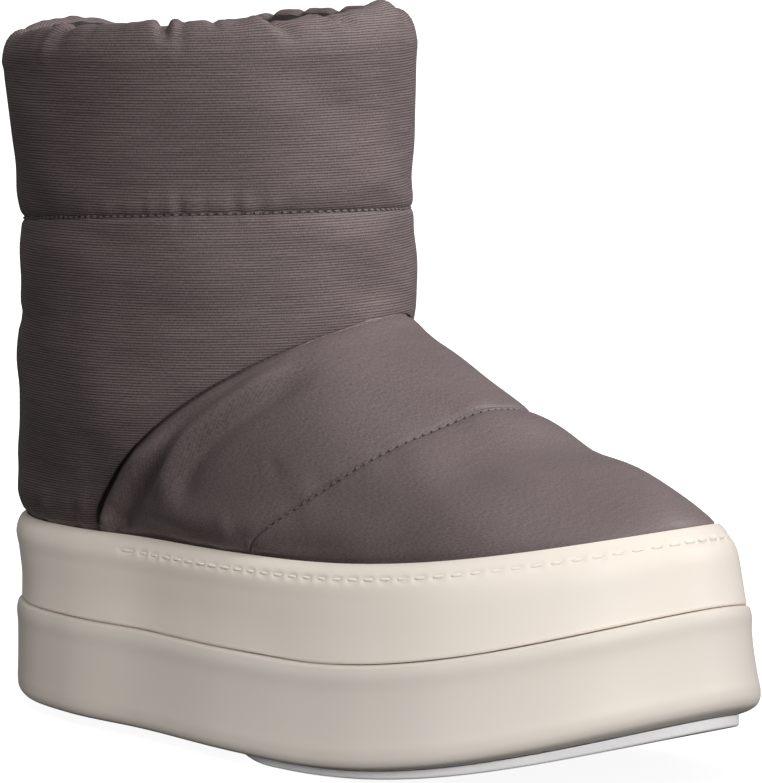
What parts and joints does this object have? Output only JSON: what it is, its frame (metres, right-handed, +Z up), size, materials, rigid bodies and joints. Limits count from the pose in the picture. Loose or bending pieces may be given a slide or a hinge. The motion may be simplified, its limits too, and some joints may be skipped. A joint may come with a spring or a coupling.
{
  "type": "padded boot",
  "caption": "Right padded ankle boot: quilted fabric upper with a rolled, gathered collar, on a thick stepped platform sole with a stitched cup wall and a thin lugged tread.",
  "frame": {"origin": "On the floor under the middle of the boot's box in plan.", "axes": "+X to the toe, +Y to the wearer's left, which is the medial side of this right boot, +Z up."},
  "size_m": [0.3032, 0.1202, 0.2298],
  "materials": {
    "tread": "matte pale grey-white rubber",
    "sole": "matte cream moulded foam rubber",
    "lining": "dark brushed lining",
    "shell": "taupe ribbed nylon with a faint sheen"
  },
  "bodies": {
    "root": {"outsole": "tread", "platform": "sole", "cupsole": "sole", "insole": "lining", "upper": "shell"}
  },
  "joints": []
}
